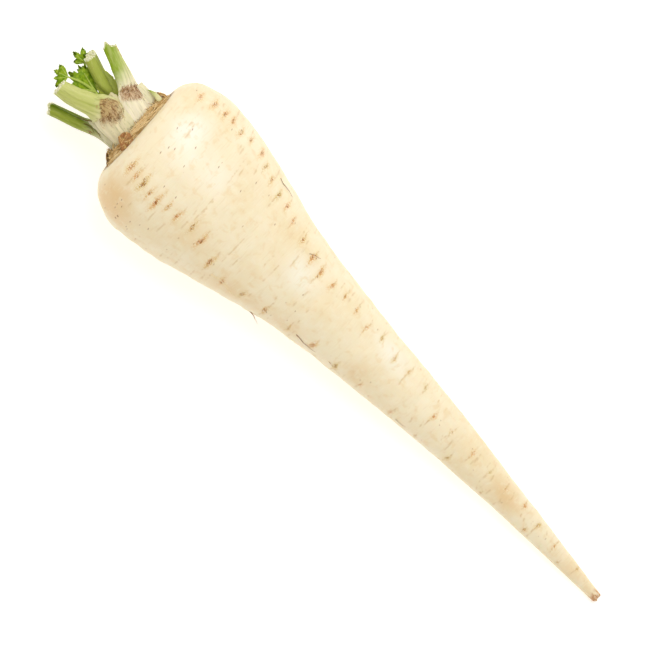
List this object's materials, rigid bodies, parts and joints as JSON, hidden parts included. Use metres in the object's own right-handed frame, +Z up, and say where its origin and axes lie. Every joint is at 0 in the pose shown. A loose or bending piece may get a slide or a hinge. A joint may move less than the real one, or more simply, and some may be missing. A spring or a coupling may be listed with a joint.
{
  "type": "parsnip",
  "caption": "Whole cream-skinned parsnip root with trimmed green leaf stalks, a brown crown collar and small young leaves, lying on its side.",
  "frame": {"origin": "on the surface that the parsnip lies on, under the middle of its whole length and width", "axes": "+X level from the crown with its cut stalks towards the root's tip, +Y across, +Z up from the surface"},
  "size_m": [0.2542, 0.0576, 0.0559],
  "materials": {
    "root_skin": "living root skin, ivory cream, satin, with fine cross wrinkles and rusty scars of side roots",
    "crown_bark": "dry brown fibrous remains of old leaf bases, matte and ragged",
    "stalk": "fresh ribbed leaf stalk, cream at its clasping base to green where cut, waxy satin",
    "leaf": "thin young leaf blade, bright green with paler veins, slightly glossy"
  },
  "bodies": {
    "root": {"root": "root_skin", "crown_collar": "crown_bark", "leaf_stalk_right": "stalk", "leaf_stalk_middle": "stalk", "leaf_stalk_front": "stalk", "leaf_stalk_left": "stalk", "young_leaf_front": "leaf", "young_leaf_back": "leaf", "leaf_base_stub": "stalk", "crown_scale_right": "crown_bark", "crown_scale_front": "crown_bark", "crown_scale_left": "crown_bark"}
  },
  "joints": []
}
